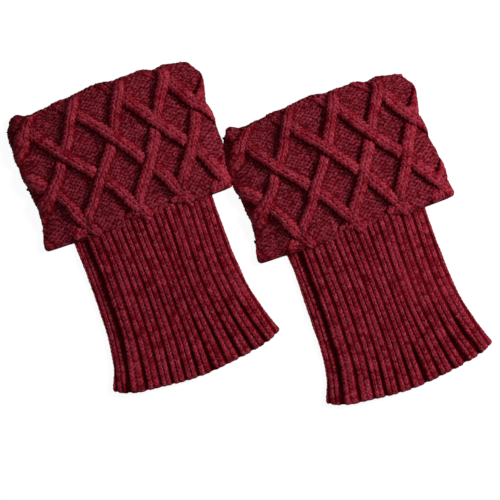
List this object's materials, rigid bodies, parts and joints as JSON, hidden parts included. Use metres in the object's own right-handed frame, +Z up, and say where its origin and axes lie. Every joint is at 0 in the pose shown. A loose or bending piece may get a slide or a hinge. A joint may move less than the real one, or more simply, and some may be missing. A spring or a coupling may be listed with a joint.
{
  "type": "pair of leg warmers",
  "caption": "Pair of short knitted leg warmers lying flat: a wide cuff of crossing cables on a ribbed leg that flares at the hem.",
  "frame": {"origin": "middle of the pair's bounding box, on the surface that the pair lies on", "axes": "+X across the pair from the left leg warmer to the right one, +Y from the hems towards the cuffs, +Z up from the surface"},
  "size_m": [0.3404, 0.24, 0.0117],
  "materials": {
    "cable_knit": "matt heathered crimson acrylic yarn, cables on a purl ground",
    "rib_knit": "matt heathered crimson acrylic yarn, two-by-two rib"
  },
  "bodies": {
    "root": {"left_cable_cuff": "cable_knit", "left_ribbed_leg": "rib_knit", "right_cable_cuff": "cable_knit", "right_ribbed_leg": "rib_knit"}
  },
  "joints": []
}
